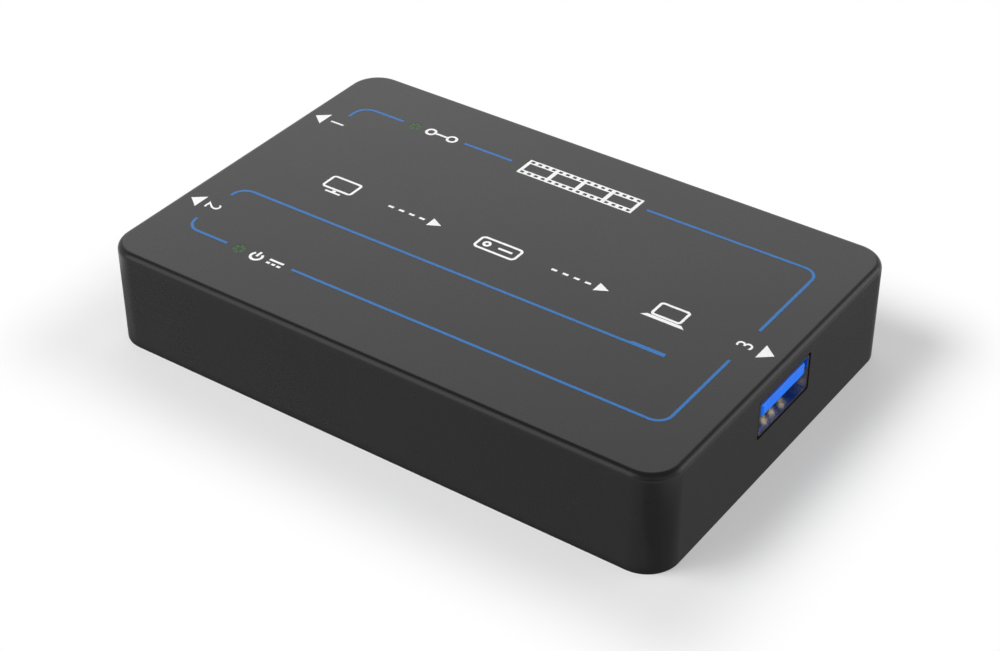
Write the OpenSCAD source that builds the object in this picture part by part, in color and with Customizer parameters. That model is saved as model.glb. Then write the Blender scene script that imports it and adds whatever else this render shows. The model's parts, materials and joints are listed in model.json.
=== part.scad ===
// Video capture box: a one-piece metal case open underneath, closed by a flat cover let into it.
// A circuit board hangs from posts inside, with a data socket in the right end of the case and
// two video sockets in the left end. Millimetres, z up. The origin is on the underside, in the
// middle, and the data socket faces +x.

/* [Case] */
// Length of the case, end to end
body_l = 90; // [84:1:120]
// Width of the case
body_w = 60; // [56:1:80]
// Height of the case
body_h = 15.5; // [14:0.1:20]
// Radius of the four upright corners
corner_r = 4.75; // [3:0.25:7]
// Radius of the round along the top edge
edge_r = 1; // [0.3:0.05:1.3]
// Thickness of the side and end walls
wall_t = 1.5; // [1.2:0.1:1.8]
// Thickness of the roof
roof_t = 1.5; // [1.2:0.1:1.8]

/* [Cover] */
// Thickness of the bottom cover
cover_t = 1.2; // [1.1:0.1:1.6]
// Clearance between the cover's edge and the walls
cover_gap = 0.1; // [0.05:0.05:0.2]
// Distance of each cover screw from the side and the end of the case
boss_inset = 4.75; // [4.5:0.05:5.5]
// Diameter of the corner bosses that take the cover screws
boss_d = 5; // [4.4:0.1:5.6]

/* [Screws] */
// Thread diameter of every screw
screw_d = 2; // [1.8:0.1:2.3]
// Head diameter of the countersunk cover screws
cover_head_d = 3.6; // [3.4:0.1:3.8]
// How deep the countersunk heads lie below the cover's face
cover_head_sink = 0.1; // [0.05:0.01:0.15]
// Length of a cover screw, head included
cover_screw_l = 6; // [4:0.5:8]
// Head diameter of the pan-head board screws
board_head_d = 3.8; // [3.4:0.1:4.2]
// Head height of the board screws
board_head_h = 1.3; // [1:0.1:1.6]
// Length of a board screw under its head
board_screw_l = 5; // [4:0.5:6]
// Width of the cross recess in the screw heads
drive_w = 0.5; // [0.4:0.05:0.6]
// Length of the cross recess in the screw heads
drive_l = 2; // [1.6:0.1:2.2]
// Depth of the cross recess in the screw heads
drive_depth = 0.5; // [0.3:0.05:0.6]
// Extra diameter of a clearance hole over its screw
hole_gap = 0.2; // [0.1:0.05:0.3]
// Extra diameter of a threaded hole over its plain screw shank
thread_gap = 0.06; // [0.04:0.02:0.1]
// Depth left under the tip of a screw in its blind hole
tip_gap = 0.5; // [0.3:0.1:1]

/* [Board] */
// Thickness of the board
board_t = 1.6; // [1.2:0.1:1.8]
// Clearance between the board's edge and the case
board_gap = 0.5; // [0.3:0.1:0.8]
// Length of the posts that carry the board, from the roof down
post_l = 7.4; // [6.8:0.1:7.8]
// Diameter of the posts
post_d = 4.5; // [4:0.1:5]
// Distance of the posts from the middle of the case, lengthwise
post_x = 24; // [22:0.5:26]
// Distance of the posts from the long sides of the case
post_from_side = 5; // [4.5:0.1:5.5]

/* [Sockets] */
// Thickness of the folded sheet of the socket shells
sheet_t = 0.2; // [0.15:0.05:0.35]
// Clearance between a socket shell and its hole in the case
port_gap = 0.25; // [0.1:0.05:0.3]
// Depth of a socket shell's mouth behind the end face of the case
port_reveal = 0.1; // [0.05:0.05:0.6]
// Clearance between a socket's insulator and its shell
fit_gap = 0.05; // [0.03:0.01:0.1]
// Width of a sprung finger in a socket shell
finger_w = 1.8; // [1.4:0.1:2.2]
// Length of a sprung finger
finger_l = 4.6; // [3.6:0.2:5]
// Distance from a finger's root to its bend
finger_knee = 3.3; // [2.4:0.1:3.4]
// Distance from a socket's mouth to the window round a finger
finger_from_mouth = 1.8; // [1.4:0.1:2.4]
// How far a finger is bent into the socket
finger_bow = 0.4; // [0.2:0.05:0.5]
// How far a finger's tip still lies in the socket
finger_tip_bow = 0.2; // [0.1:0.05:0.3]
// Width of the cut round a finger
finger_cut = 0.3; // [0.2:0.05:0.4]
// Width of a socket shell's legs
leg_w = 1.4; // [1:0.1:1.8]
// Height above a socket's middle at which its legs leave the shell's sides
leg_rise = 1.2; // [0.8:0.1:1.6]
// How far the legs stand out under the board
leg_past_board = 0.8; // [0.4:0.1:1.2]
// Clearance round a leg in its slot in the board
leg_gap = 0.2; // [0.1:0.05:0.3]
// Length of a contact's foot, soldered to the board
foot_l = 1.1; // [0.8:0.1:1.4]

/* [Data socket] */
// Width of the opening
data_open_w = 12.5; // [12.3:0.05:12.9]
// Height of the opening
data_open_h = 5.12; // [5:0.02:5.3]
// Radius of the opening's corners
data_open_r = 0.4; // [0.2:0.05:0.6]
// Radius of the corners of its hole in the case
data_port_r = 0.3; // [0.2:0.05:0.8]
// Length of the shell
data_l = 14; // [13:0.5:15]
// Height of the opening's middle above the board
data_seat = 3.55; // [3.3:0.05:3.6]
// Distance from the mouth to the front pair of legs
data_leg_front = 4.6; // [4:0.2:6]
// Distance from the mouth to the rear pair of legs
data_leg_rear = 10.6; // [9:0.2:12]
// Distance between the fingers of the roof, and of the floor
data_finger_pitch = 6.2; // [5.4:0.2:7]
// Width of the tongue
data_tongue_w = 11.1; // [10.9:0.05:11.2]
// Thickness of the tongue
data_tongue_t = 1.78; // [1.7:0.02:1.96]
// Gap between the tongue and the roof of the opening
data_tongue_drop = 0.78; // [0.65:0.01:0.8]
// Depth of the tongue's tip behind the end face of the case
data_tip = 0.1; // [0.05:0.05:0.6]
// Chamfer round the tongue's tip
tip_chamfer = 0.25; // [0.15:0.05:0.4]
// Length of the insulator's base
data_base_l = 3.2; // [2.6:0.1:4]
// Width of a sprung contact
data_contact_w = 1; // [0.7:0.05:1.1]
// Thickness of a sprung contact
data_contact_t = 0.2; // [0.15:0.01:0.25]
// Distance of the two inner sprung contacts from the middle
data_contact_inner = 1; // [0.9:0.05:1.1]
// Distance of the two outer sprung contacts from the middle
data_contact_outer = 3.5; // [3.3:0.05:3.7]
// How far a sprung contact bows down from the tongue
data_contact_bow = 0.9; // [0.4:0.05:1.1]
// How far a sprung contact's end still lies below the tongue
data_contact_end_bow = 0.1; // [0.05:0.05:0.35]
// Distance from a sprung contact's end to its lowest point
data_contact_knee = 0.6; // [0.4:0.1:1.8]
// Distance from the fixed pads back to the end of a sprung contact
data_contact_gap = 0.25; // [0.15:0.05:2]
// Length of the bowed stretch of a sprung contact
data_contact_reach = 3.4; // [2.6:0.1:4]
// Width of a fixed pad near the tip
data_pad_w = 0.7; // [0.5:0.05:0.9]
// Length of a fixed pad
data_pad_l = 1.2; // [0.8:0.1:1.3]
// Height of a fixed pad below the tongue
data_pad_t = 0.12; // [0.08:0.02:0.16]
// Distance between the fixed pads
data_pad_pitch = 2; // [1.6:0.1:2.2]

/* [Video sockets] */
// Distance of the video sockets from the long sides of the case
video_from_side = 16; // [15.5:0.1:17]
// Width of the opening
video_open_w = 14; // [13.8:0.05:14.2]
// Height of the opening
video_open_h = 4.55; // [4.4:0.05:4.7]
// Height of the slanted lower corners
video_slant_h = 1.65; // [1.3:0.05:1.9]
// Width of the slanted lower corners
video_slant_w = 1.65; // [1.3:0.05:1.9]
// Radius of the opening's corners
video_open_r = 0.35; // [0.2:0.05:0.45]
// Length of the shell
video_l = 11.6; // [11:0.2:12.4]
// Height of the opening's middle above the board
video_seat = 2.95; // [2.85:0.05:3.2]
// Distance from the mouth to the front pair of legs
video_leg_front = 3.6; // [3:0.2:5]
// Distance from the mouth to the rear pair of legs
video_leg_rear = 9; // [8:0.2:10]
// Distance between the fingers of the roof, and of the floor
video_finger_pitch = 6; // [5:0.2:7]
// Width of the tongue
video_tongue_w = 11.6; // [11.2:0.1:11.8]
// Thickness of the tongue
video_tongue_t = 1.3; // [1.1:0.05:1.5]
// Depth of the tongue's tip behind the end face of the case
video_tip = 1.4; // [1:0.1:2]
// Length of the insulator's base
video_base_l = 3; // [2.6:0.1:3.6]
// Distance between neighbouring contacts on one face of the tongue
video_pitch = 1; // [0.9:0.02:1.06]
// Width of a contact
video_contact_w = 0.3; // [0.2:0.02:0.36]
// Thickness of a contact
video_contact_t = 0.12; // [0.08:0.01:0.16]
// Distance from the tongue's tip to the end of a contact
video_contact_back = 0.9; // [0.6:0.1:1.4]

/* [Lights] */
// Distance of the lights from the left end of the case
light_from_end = 16; // [15.5:0.1:18]
// Distance of the lights from the long sides of the case
light_from_side = 10; // [9.5:0.1:11]
// Diameter of the ring of windows over a light
light_d = 1.9; // [1.6:0.05:2.1]
// Diameter of the solid middle of that ring
light_core_d = 0.5; // [0.4:0.05:0.8]
// Distance between the pips that fill two neighbouring windows
light_web = 0.12; // [0.1:0.01:0.2]
// Clearance round a pip in its window
pip_gap = 0.02; // [0.01:0.01:0.04]
// Depth of the pips' ends below the roof's face
pip_sink = 0.03; // [0.01:0.01:0.1]
// Diameter of a light pipe
pipe_d = 2.6; // [2.2:0.1:3]
// Gap between a light pipe and its lamp
pipe_gap = 0.3; // [0.2:0.05:0.5]
// Length of a lamp's base
led_l = 1.6; // [1.4:0.1:2]
// Width of a lamp's base
led_w = 0.8; // [0.7:0.05:1]
// Height of a lamp's base
led_h = 0.4; // [0.3:0.05:0.5]
// Diameter of a lamp's lens where it meets the base
led_lens_d = 0.7; // [0.6:0.02:0.7]
// Diameter of a lamp's lens at its top
led_lens_top_d = 0.5; // [0.3:0.05:0.55]
// Height of a lamp's lens above its base
led_lens_h = 0.35; // [0.2:0.05:0.5]

/* [Chips] */
// Side of the capture chip
capture_w = 12; // [10:0.5:13]
// Height of the capture chip
capture_h = 1; // [0.8:0.1:1.2]
// Side of the thermal pad on the capture chip
pad_w = 11; // [9:0.5:12]
// Thickness of the thermal pad
pad_t = 0.5; // [0.3:0.1:0.8]
// Side of the heatsink
heatsink_w = 13.6; // [12:0.2:14]
// Thickness of the heatsink's plate
heatsink_base = 1.2; // [0.8:0.1:1.6]
// Height of the heatsink's fins
fin_h = 3.6; // [2.6:0.1:3.8]
// Thickness of a fin
fin_t = 0.8; // [0.6:0.05:1]
// Number of fins
fins = 6; // [4:1:8]
// Side of the video receiver chip
receiver_w = 9; // [8:0.5:10]
// Height of the video receiver chip
receiver_h = 0.9; // [0.7:0.1:1.2]
// Length of the memory chip
memory_l = 12; // [10:0.5:13]
// Width of the memory chip
memory_w = 8; // [7:0.5:9]
// Height of the memory chip
memory_h = 1.1; // [0.9:0.1:1.3]
// Length of the flash memory chip
flash_l = 4.9; // [4.6:0.1:5.2]
// Width of the flash memory chip, without its leads
flash_w = 3.9; // [3.6:0.1:4.2]
// Height of the flash memory chip
flash_h = 1.4; // [1.2:0.1:1.6]
// Distance between the leads of the flash memory chip
flash_pitch = 1.27; // [1.1:0.01:1.3]
// Width of a lead of the flash memory chip
flash_lead_w = 0.42; // [0.3:0.02:0.5]
// Length of the regulator
regulator_l = 6.5; // [6:0.1:7]
// Width of the regulator, without its leads
regulator_w = 3.5; // [3:0.1:4]
// Height of the regulator
regulator_h = 1.6; // [1.4:0.1:1.8]
// Distance between the leads of the regulator
regulator_pitch = 2.3; // [2:0.1:2.5]
// Width of a lead of the regulator
regulator_lead_w = 0.7; // [0.5:0.05:0.9]
// Thickness of the leads of both chips
lead_t = 0.2; // [0.15:0.01:0.25]
// How far the leads reach past both chips' sides
lead_reach = 1; // [0.8:0.05:1.2]
// Length of the clock crystal
crystal_l = 5; // [4:0.1:6]
// Width of the clock crystal
crystal_w = 3.2; // [2.6:0.1:3.6]
// Height of the clock crystal
crystal_h = 1.2; // [0.9:0.1:1.6]
// Height of the clock crystal's foot
crystal_foot_h = 0.4; // [0.3:0.05:0.6]
// How far the clock crystal's lid stands in from its foot
crystal_step = 0.25; // [0.15:0.05:0.35]
// Side of the power inductors
inductor_w = 5; // [4.8:0.1:5.4]
// Height of the power inductors
inductor_h = 3; // [2:0.2:4]
// Diameter of the round groove in the top of a power inductor
groove_d = 4; // [3:0.1:4.4]
// Width of that groove
groove_w = 0.5; // [0.3:0.05:0.7]
// Depth of that groove
groove_depth = 0.3; // [0.2:0.05:0.5]
// Length of the bulk capacitors
bulk_l = 3.5; // [3:0.1:4]
// Width of the bulk capacitors
bulk_w = 2.8; // [2.4:0.1:3.2]
// Height of the bulk capacitors
bulk_h = 1.9; // [1.6:0.1:2.6]
// Height of the bulk capacitors' body above the board
bulk_lift = 0.1; // [0.05:0.05:0.2]
// Length of a bulk capacitor's terminal
terminal_l = 0.8; // [0.6:0.05:1]
// Width of a bulk capacitor's terminal
terminal_w = 2.2; // [1.8:0.1:2.4]
// Height of a bulk capacitor's terminal
terminal_h = 1; // [0.6:0.1:1.4]
// Length of a ceramic capacitor
ceramic_l = 1; // [0.8:0.05:1.2]
// Width of a ceramic capacitor
ceramic_w = 0.8; // [0.5:0.05:1]
// Height of a ceramic capacitor
ceramic_h = 0.6; // [0.4:0.05:0.8]
// Distance between the ceramic capacitors of a row
ceramic_pitch = 1.6; // [1.3:0.05:1.7]

/* [Hidden] */
$fn = 48;

// How far a cutting shape reaches past the face that it opens
lap = 0.5;

// Inside of the case
inner_l = body_l - 2 * wall_t;
inner_w = body_w - 2 * wall_t;
inner_r = corner_r - wall_t;
roof_z = body_h - roof_t;

// Board and what it carries
board_top = roof_z - post_l;
board_z = board_top - board_t;
boss_at = [body_l / 2 - boss_inset, body_w / 2 - boss_inset];
post_at = [post_x, body_w / 2 - post_from_side];
post_bore = board_screw_l - board_t + tip_gap;
boss_bore = cover_screw_l - cover_t + cover_head_sink + tip_gap;

// Sockets: each is drawn with its mouth towards +x and the case's end face at x = 0
data_z = board_top + data_seat;
video_z = board_top + video_seat;
video_y = body_w / 2 - video_from_side;
data_rear = -port_reveal - data_l;
video_rear = -port_reveal - video_l;
data_legs = [-port_reveal - data_leg_front, -port_reveal - data_leg_rear];
video_legs = [-port_reveal - video_leg_front, -port_reveal - video_leg_rear];
tongue_top = data_open_h / 2 - data_tongue_drop;
tongue_floor = tongue_top - data_tongue_t;
data_contact_y = [-data_contact_outer, -data_contact_inner, data_contact_inner, data_contact_outer];
data_pads = 5;
upper_contacts = 10;
lower_contacts = 9;

// Clearance round a contact in its slot through the insulator
slot_gap = 0.03;

// Lights
light_x = light_from_end - body_l / 2;
light_y = body_w / 2 - light_from_side;
windows = 6;

// Places of the chips on the board
capture_at = [10, 0];
receiver_at = [-14, 0];
memory_at = [10, 13.5];
flash_at = [10, -12.5];
regulator_at = [-3, -14];
crystal_at = [-3, 8];
inductors_at = [[21, 13], [21, -13]];
bulk_at = [[-14, 9.5], [-14, -9.5], [-20, 13], [-20, -13]];
ceramic_rows = [[-3, -6.5], [-3, 0.5], [-22.5, 0]];
ceramic_count = 4;
flash_leads = 4;
regulator_leads = 3;

// Shapes used by several pieces

module rounded_rect(l, w, r) {
    square([l - 2 * r, w], center = true);
    square([l, w - 2 * r], center = true);
    for (sx = [-1, 1], sy = [-1, 1])
        translate([sx * (l / 2 - r), sy * (w / 2 - r)])
            circle(r);
}

// An outline drawn in y and z, extruded along x
module along_x(start, length) {
    translate([start, 0, 0])
        rotate([90, 0, 90])
            linear_extrude(length)
                children();
}

// An outline drawn in x and z, extruded along y to both sides
module across_y(width) {
    rotate([90, 0, 0])
        linear_extrude(width, center = true)
            children();
}

module at_four(p) {
    for (sx = [-1, 1], sy = [-1, 1])
        translate([sx * p.x, sy * p.y, 0])
            children();
}

module at_data() {
    translate([body_l / 2, 0, data_z])
        children();
}

module at_video(side) {
    translate([-body_l / 2, side * video_y, video_z])
        rotate(180)
            children();
}

module on_board(p) {
    translate([p.x, p.y, board_top])
        children();
}

// Case

// A wall's section with its top outer corner rounded
module rounded_step(reach, h, r) {
    square([reach, h - r]);
    square([reach - r, h]);
    translate([reach - r, h - r])
        circle(r);
}

// The case as a solid block: a middle bar, two end strips and four turned corners
module case_block() {
    flat_l = body_l - 2 * corner_r;
    flat_w = body_w - 2 * corner_r;
    along_x(-flat_l / 2, flat_l) {
        rounded_step(body_w / 2, body_h, edge_r);
        mirror([1, 0])
            rounded_step(body_w / 2, body_h, edge_r);
    }
    for (turn = [0, 180])
        rotate(turn)
            translate([flat_l / 2, 0, 0])
                across_y(flat_w)
                    rounded_step(corner_r, body_h, edge_r);
    for (quarter = [0:3])
        translate([(quarter % 3 == 0 ? 1 : -1) * flat_l / 2, (quarter < 2 ? 1 : -1) * flat_w / 2, 0])
            rotate(90 * quarter)
                rotate_extrude(angle = 90)
                    rounded_step(corner_r, body_h, edge_r);
}

// Plan of the corner bosses, each joined to the walls of its corner; grow adds clearance
module boss_plan(grow) {
    reach = boss_inset;
    for (sx = [-1, 1], sy = [-1, 1])
        translate([sx * boss_at.x, sy * boss_at.y]) {
            circle(d = boss_d + 2 * grow);
            translate([sx > 0 ? -grow : -reach, sy > 0 ? -grow : -reach])
                square(reach + grow);
        }
}

module cavity_plan() {
    difference() {
        rounded_rect(inner_l, inner_w, inner_r);
        boss_plan(0);
    }
}

module data_port() {
    side = 2 * (sheet_t + port_gap);
    rounded_rect(data_open_w + side, data_open_h + side, data_port_r);
}

module video_port() {
    offset(r = sheet_t + port_gap, $fn = 24)
        video_opening();
}

// A ring cut into windows by webs through its middle
module light_windows(grow) {
    difference() {
        circle(d = light_d + 2 * grow);
        circle(d = light_core_d - 2 * grow);
        for (i = [0:windows / 2 - 1])
            rotate(i * 360 / windows)
                square([2 * light_d, light_web - 2 * grow], center = true);
    }
}

module top_shell() {
    color("#2c2c2e")
        difference() {
            case_block();
            translate([0, 0, -lap])
                linear_extrude(cover_t + lap)
                    rounded_rect(inner_l, inner_w, inner_r);
            translate([0, 0, cover_t - lap])
                linear_extrude(board_top - cover_t + lap)
                    cavity_plan();
            translate([0, 0, board_top - lap])
                linear_extrude(roof_z - board_top + lap)
                    difference() {
                        cavity_plan();
                        at_four(post_at)
                            circle(d = post_d);
                    }
            at_four(boss_at)
                translate([0, 0, cover_t - lap])
                    cylinder(d = screw_d + thread_gap, h = boss_bore + lap);
            at_four(post_at)
                translate([0, 0, board_top - lap])
                    cylinder(d = screw_d + thread_gap, h = post_bore + lap);
            at_data()
                along_x(-wall_t - lap, wall_t + 2 * lap)
                    data_port();
            for (side = [-1, 1])
                at_video(side)
                    along_x(-wall_t - lap, wall_t + 2 * lap)
                        video_port();
            for (side = [-1, 1])
                translate([light_x, side * light_y, roof_z - lap])
                    linear_extrude(roof_t + 2 * lap)
                        light_windows(pip_gap);
        }
}

module bottom_cover() {
    head_h = (cover_head_d - screw_d) / 2;
    color("#29292b")
        difference() {
            linear_extrude(cover_t)
                rounded_rect(inner_l - 2 * cover_gap, inner_w - 2 * cover_gap, inner_r - cover_gap);
            at_four(boss_at) {
                translate([0, 0, -lap])
                    cylinder(d = screw_d + hole_gap, h = cover_t + 2 * lap);
                translate([0, 0, -lap])
                    cylinder(d = cover_head_d + hole_gap, h = cover_head_sink + lap);
                translate([0, 0, cover_head_sink])
                    cylinder(d1 = cover_head_d + hole_gap, d2 = screw_d + hole_gap, h = head_h);
            }
        }
}

// Cross recess, cut downwards from z = 0
module cross_recess() {
    for (turn = [0, 90])
        rotate(turn)
            translate([-drive_l / 2, -drive_w / 2, -drive_depth])
                cube([drive_l, drive_w, drive_depth + lap]);
}

module cover_screws() {
    head_h = (cover_head_d - screw_d) / 2;
    color("#3a3a3c")
        at_four(boss_at)
            translate([0, 0, cover_head_sink])
                difference() {
                    union() {
                        cylinder(d1 = cover_head_d, d2 = screw_d, h = head_h);
                        cylinder(d = screw_d, h = cover_screw_l);
                    }
                    mirror([0, 0, 1])
                        cross_recess();
                }
}

// Board

module leg_slots(legs, open_w) {
    for (x = legs, side = [-1, 1])
        translate([x, side * (open_w + sheet_t) / 2])
            square([leg_w + 2 * leg_gap, sheet_t + 2 * leg_gap], center = true);
}

module main_board() {
    color("#1e5631")
        translate([0, 0, board_z])
            linear_extrude(board_t)
                difference() {
                    rounded_rect(inner_l - 2 * board_gap, inner_w - 2 * board_gap, inner_r - board_gap);
                    boss_plan(board_gap);
                    at_four(post_at)
                        circle(d = screw_d + hole_gap);
                    translate([body_l / 2, 0])
                        leg_slots(data_legs, data_open_w);
                    for (side = [-1, 1])
                        translate([-body_l / 2, side * video_y])
                            rotate(180)
                                leg_slots(video_legs, video_open_w);
                }
}

module board_screws() {
    color("#b9bbbe")
        at_four(post_at)
            translate([0, 0, board_z - board_head_h])
                difference() {
                    union() {
                        cylinder(d = board_head_d, h = board_head_h);
                        cylinder(d = screw_d, h = board_head_h + board_screw_l);
                    }
                    mirror([0, 0, 1])
                        cross_recess();
                }
}

// Sockets

// A finger's section: from its root at x = 0 it bends into the socket and its tip turns back out
module finger_section() {
    polygon([
        [-lap, 0], [0, 0], [finger_knee, -finger_bow], [finger_l, -finger_tip_bow],
        [finger_l, -finger_tip_bow - sheet_t], [finger_knee, -finger_bow - sheet_t],
        [0, -sheet_t], [-lap, -sheet_t]
    ]);
}

// A shell of folded sheet: a tube between its outer outline (first child) and its inner one
// (second child), with sprung fingers in its roof and floor and legs down through the board
module socket_shell(length, open_w, open_h, finger_pitch, legs, seat) {
    mouth = -port_reveal;
    outer_z = open_h / 2 + sheet_t;
    window_l = finger_l + finger_cut;
    leg_end = -seat - board_t - leg_past_board;
    difference() {
        along_x(mouth - length, length)
            difference() {
                children(0);
                children(1);
            }
        for (side = [-1, 1], level = [-1, 1])
            translate([
                mouth - finger_from_mouth - window_l / 2, side * finger_pitch / 2,
                level * (outer_z - sheet_t / 2)
            ])
                cube([window_l, finger_w + 2 * finger_cut, 2 * sheet_t], center = true);
    }
    for (side = [-1, 1], level = [0, 1])
        mirror([0, 0, level])
            translate([mouth - finger_from_mouth - window_l, side * finger_pitch / 2, outer_z])
                across_y(finger_w)
                    finger_section();
    for (x = legs, side = [-1, 1])
        translate([x - leg_w / 2, side * (open_w + sheet_t) / 2 - sheet_t / 2, leg_end])
            cube([leg_w, sheet_t, leg_rise - leg_end]);
}

// A tongue from x0 to its tip at x1, chamfered round the tip
module tongue(x0, x1, width, z0, z1, chamfer) {
    intersection() {
        across_y(width)
            polygon([
                [x0, z0], [x1 - chamfer, z0], [x1, z0 + chamfer],
                [x1, z1 - chamfer], [x1 - chamfer, z1], [x0, z1]
            ]);
        translate([0, 0, z0])
            linear_extrude(z1 - z0)
                polygon([
                    [x0, -width / 2], [x1 - chamfer, -width / 2], [x1, chamfer - width / 2],
                    [x1, width / 2 - chamfer], [x1 - chamfer, width / 2], [x0, width / 2]
                ]);
    }
}

// A strip contact's section: a flat strip whose top is at z, a leg down behind the insulator and
// a foot on the board. spring gives the points of its front stretch, from the end backwards.
module contact_section(spring, rear, z, t, foot_z) {
    polygon(concat(
        spring,
        [
            [rear, z], [rear, foot_z + t], [rear - foot_l, foot_z + t], [rear - foot_l, foot_z],
            [rear + t, foot_z], [rear + t, z - t]
        ],
        [for (i = [len(spring) - 1:-1:0]) spring[i] - [0, t]]
    ));
}

// Slot through an insulator's base for a strip contact whose top is at z
module contact_slot(rear, base_l, width, z, t) {
    translate([rear - lap, -width / 2 - slot_gap, z - t - slot_gap])
        cube([base_l + lap + slot_gap, width + 2 * slot_gap, t + 2 * slot_gap]);
}

// Data socket

module data_opening() {
    rounded_rect(data_open_w, data_open_h, data_open_r);
}

module data_socket_shell() {
    color("#c4c6c9")
        at_data()
            socket_shell(data_l, data_open_w, data_open_h, data_finger_pitch, data_legs, data_seat) {
                rounded_rect(data_open_w + 2 * sheet_t, data_open_h + 2 * sheet_t, data_open_r + sheet_t);
                data_opening();
            }
}

module data_socket_insulator() {
    color("#1f6bff")
        at_data()
            difference() {
                union() {
                    along_x(data_rear, data_base_l)
                        rounded_rect(data_open_w - 2 * fit_gap, data_open_h - 2 * fit_gap, data_open_r);
                    tongue(data_rear, -data_tip, data_tongue_w, tongue_floor, tongue_top, tip_chamfer);
                }
                for (y = data_contact_y)
                    translate([0, y, 0])
                        contact_slot(data_rear, data_base_l, data_contact_w, tongue_floor, data_contact_t);
            }
}

module data_socket_contacts() {
    end = -data_tip - tip_chamfer - data_pad_l - data_contact_gap;
    spring = [
        [end, tongue_floor - data_contact_end_bow],
        [end - data_contact_knee, tongue_floor - data_contact_bow],
        [end - data_contact_reach, tongue_floor]
    ];
    color("#d4a93a")
        at_data()
            for (y = data_contact_y)
                translate([0, y, 0])
                    across_y(data_contact_w)
                        contact_section(spring, data_rear - data_contact_t - slot_gap,
                            tongue_floor, data_contact_t, -data_seat);
}

module data_socket_pads() {
    first = -(data_pads - 1) / 2;
    color("#d4a93a")
        at_data()
            for (i = [0:data_pads - 1])
                translate([
                    -data_tip - tip_chamfer - data_pad_l, (first + i) * data_pad_pitch - data_pad_w / 2,
                    tongue_floor - data_pad_t
                ])
                    cube([data_pad_l, data_pad_w, data_pad_t]);
}

// Video sockets

// Opening with its two lower corners slanted and every corner rounded
module video_opening() {
    half_w = video_open_w / 2;
    half_h = video_open_h / 2;
    offset(r = video_open_r, $fn = 24)
        offset(delta = -video_open_r)
            polygon([
                [-half_w, half_h], [half_w, half_h], [half_w, video_slant_h - half_h],
                [half_w - video_slant_w, -half_h], [video_slant_w - half_w, -half_h],
                [-half_w, video_slant_h - half_h]
            ]);
}

module video_shell(side) {
    color("#c4c6c9")
        at_video(side)
            socket_shell(video_l, video_open_w, video_open_h, video_finger_pitch, video_legs, video_seat) {
                offset(r = sheet_t, $fn = 24)
                    video_opening();
                video_opening();
            }
}

// Places each contact: [offset along y, top of the strip]
function video_contacts() = concat(
    [for (i = [0:upper_contacts - 1])
        [(i - (upper_contacts - 1) / 2) * video_pitch, video_tongue_t / 2 + video_contact_t]],
    [for (i = [0:lower_contacts - 1])
        [(i - (lower_contacts - 1) / 2) * video_pitch, -video_tongue_t / 2]]
);

module video_insulator(side) {
    color("#1a1a1c")
        at_video(side)
            difference() {
                union() {
                    along_x(video_rear, video_base_l)
                        offset(delta = -fit_gap)
                            video_opening();
                    tongue(video_rear, -video_tip, video_tongue_w,
                        -video_tongue_t / 2, video_tongue_t / 2, tip_chamfer);
                }
                for (c = video_contacts())
                    translate([0, c[0], 0])
                        contact_slot(video_rear, video_base_l, video_contact_w, c[1], video_contact_t);
            }
}

module video_contact_set(side) {
    end = -video_tip - video_contact_back;
    color("#d4a93a")
        at_video(side)
            for (c = video_contacts())
                translate([0, c[0], 0])
                    across_y(video_contact_w)
                        contact_section([[end, c[1]]], video_rear - video_contact_t - slot_gap,
                            c[1], video_contact_t, -video_seat);
}

module video_in_shell() video_shell(1);
module video_in_insulator() video_insulator(1);
module video_in_contacts() video_contact_set(1);
module video_out_shell() video_shell(-1);
module video_out_insulator() video_insulator(-1);
module video_out_contacts() video_contact_set(-1);

// Lights

// A clear rod from the lamp up to the roof, with pips that fill the windows there
module light_pipe(side) {
    foot = board_top + led_h + led_lens_h + pipe_gap;
    color("#4f7a4a")
        translate([light_x, side * light_y, 0]) {
            translate([0, 0, foot])
                cylinder(d = pipe_d, h = roof_z - foot);
            translate([0, 0, roof_z - lap])
                linear_extrude(roof_t + lap - pip_sink)
                    light_windows(0);
        }
}

module led(side) {
    color("#d8e8d0")
        on_board([light_x, side * light_y]) {
            translate([0, 0, led_h / 2])
                cube([led_l, led_w, led_h], center = true);
            translate([0, 0, led_h])
                cylinder(d1 = led_lens_d, d2 = led_lens_top_d, h = led_lens_h);
        }
}

module link_light_pipe() light_pipe(1);
module power_light_pipe() light_pipe(-1);
module link_led() led(1);
module power_led() led(-1);

// Chips

// A flat moulded package with one cut corner and a dimple beside it
module package(l, w, h) {
    cut = 0.6;
    dimple_d = 0.8;
    dimple_depth = 0.1;
    difference() {
        linear_extrude(h)
            polygon([
                [cut - l / 2, -w / 2], [l / 2, -w / 2], [l / 2, w / 2], [-l / 2, w / 2], [-l / 2, cut - w / 2]
            ]);
        translate([2 * cut - l / 2, 2 * cut - w / 2, h - dimple_depth])
            cylinder(d = dimple_d, h = lap);
    }
}

module capture_chip() {
    color("#1d1d1f")
        on_board(capture_at)
            package(capture_w, capture_w, capture_h);
}

module thermal_pad() {
    color("#7d8791")
        on_board(capture_at)
            translate([0, 0, capture_h])
                linear_extrude(pad_t)
                    square(pad_w, center = true);
}

module heatsink() {
    pitch = (heatsink_w - fin_t) / (fins - 1);
    color("#aeb3b8")
        on_board(capture_at)
            translate([-heatsink_w / 2, -heatsink_w / 2, capture_h + pad_t]) {
                cube([heatsink_w, heatsink_w, heatsink_base]);
                for (i = [0:fins - 1])
                    translate([0, i * pitch, 0])
                        cube([heatsink_w, fin_t, heatsink_base + fin_h]);
            }
}

module receiver_chip() {
    color("#1d1d1f")
        on_board(receiver_at)
            package(receiver_w, receiver_w, receiver_h);
}

module memory_chip() {
    color("#1d1d1f")
        on_board(memory_at)
            package(memory_l, memory_w, memory_h);
}

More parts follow.
